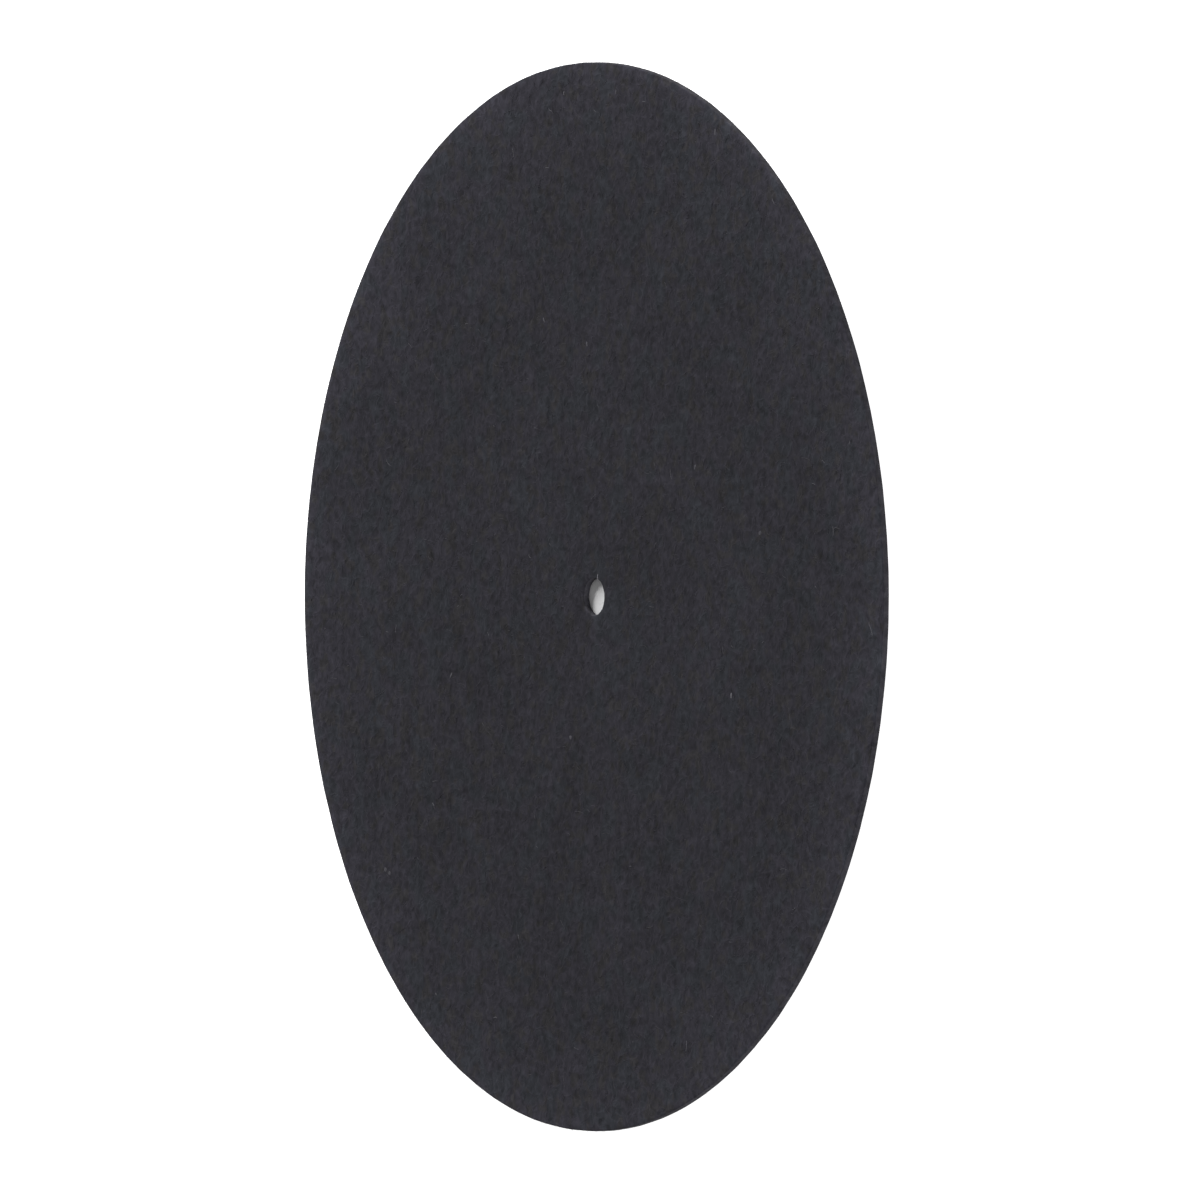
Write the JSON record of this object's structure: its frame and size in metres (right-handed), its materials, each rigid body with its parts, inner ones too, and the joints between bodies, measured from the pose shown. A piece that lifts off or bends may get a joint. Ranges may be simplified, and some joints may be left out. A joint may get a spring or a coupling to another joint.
{
  "type": "turntable platter mat",
  "caption": "Thin round felt mat with a small spindle hole through its middle, laid on a record player's platter to grip and cushion a record.",
  "frame": {"origin": "on the axis of the spindle hole, in the plane of the underside that lies on the platter", "axes": "+Z along the spindle hole's axis, up towards the record; X and Y in the plane of the underside, of no preferred direction"},
  "size_m": [0.295, 0.295, 0.002],
  "materials": {
    "felt": "charcoal grey pressed felt, matt, with a short loose nap and a few paler fibres"
  },
  "bodies": {
    "root": {"felt_mat": "felt"}
  },
  "joints": []
}
